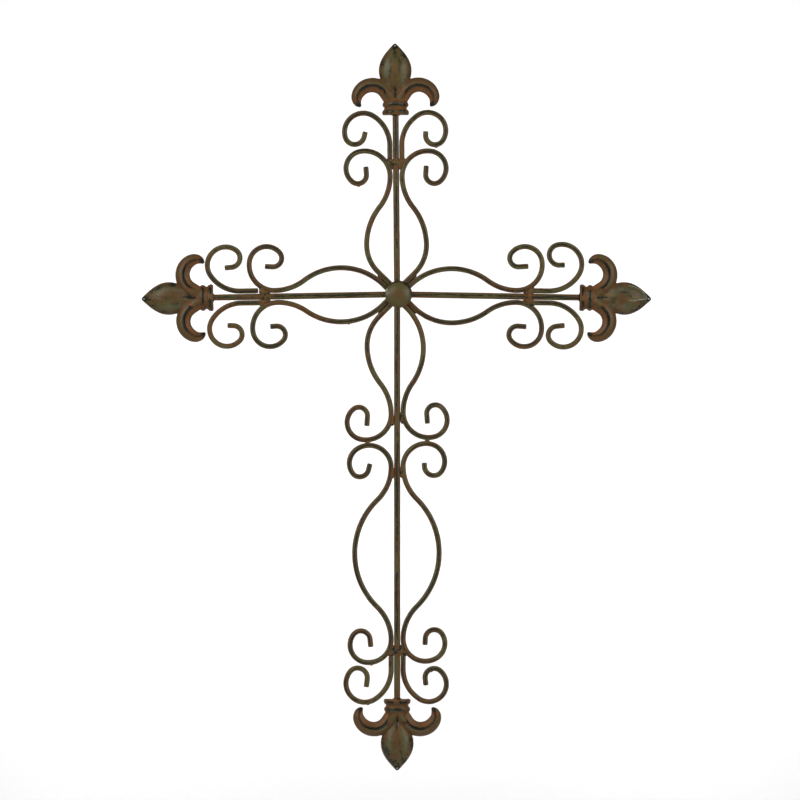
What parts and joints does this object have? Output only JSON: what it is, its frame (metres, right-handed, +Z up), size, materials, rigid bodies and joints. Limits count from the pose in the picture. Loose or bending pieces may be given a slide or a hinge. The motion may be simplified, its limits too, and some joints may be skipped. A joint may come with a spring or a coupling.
{
  "type": "wrought iron wall cross",
  "caption": "Flat openwork cross of round iron rod with bent scrolls along its arms, a domed centre boss and a cast fleur-de-lis on each end, made to hang flat on a wall.",
  "frame": {"origin": "the crossing of the rods, on the flat back of the boss hub, in the wall plane", "axes": "+Z up along the upright, +X to the right as seen from the front, +Y into the wall; the front faces -Y"},
  "size_m": [0.5357, 0.0195, 0.7641],
  "materials": {
    "painted_rod": "brown paint with dark green-black brushed over the front, satin",
    "painted_scroll": "brown paint with dark green-black brushed over the front, satin",
    "painted_casting": "rust-brown paint, darker and greyer on the raised parts, satin",
    "weld_bead": "lumpy rust-brown paint"
  },
  "bodies": {
    "root": {"upright_rod": "painted_rod", "arm_rod_left": "painted_rod", "arm_rod_right": "painted_rod", "centre_boss": "painted_casting", "finial_top": "painted_casting", "finial_left": "painted_casting", "finial_bottom": "painted_casting", "finial_right": "painted_casting", "petal_scroll_top_left": "painted_scroll", "petal_scroll_top_right": "painted_scroll", "petal_scroll_left_upper": "painted_scroll", "petal_scroll_left_lower": "painted_scroll", "petal_scroll_bottom_left": "painted_scroll", "petal_scroll_bottom_right": "painted_scroll", "petal_scroll_right_upper": "painted_scroll", "petal_scroll_right_lower": "painted_scroll", "long_scroll_left": "painted_scroll", "long_scroll_right": "painted_scroll", "end_scroll_top_left": "painted_scroll", "end_scroll_top_right": "painted_scroll", "end_scroll_left_upper": "painted_scroll", "end_scroll_left_lower": "painted_scroll", "end_scroll_bottom_left": "painted_scroll", "end_scroll_bottom_right": "painted_scroll", "end_scroll_right_upper": "painted_scroll", "end_scroll_right_lower": "painted_scroll", "weld_top_arm": "weld_bead", "weld_left_arm": "weld_bead", "weld_bottom_arm": "weld_bead", "weld_right_arm": "weld_bead", "weld_top_finial": "weld_bead", "weld_left_finial": "weld_bead", "weld_bottom_finial": "weld_bead", "weld_right_finial": "weld_bead", "weld_petal_left": "weld_bead", "weld_bow_left": "weld_bead", "weld_curls_left": "weld_bead", "weld_petal_right": "weld_bead", "weld_bow_right": "weld_bead", "weld_curls_right": "weld_bead"}
  },
  "joints": []
}
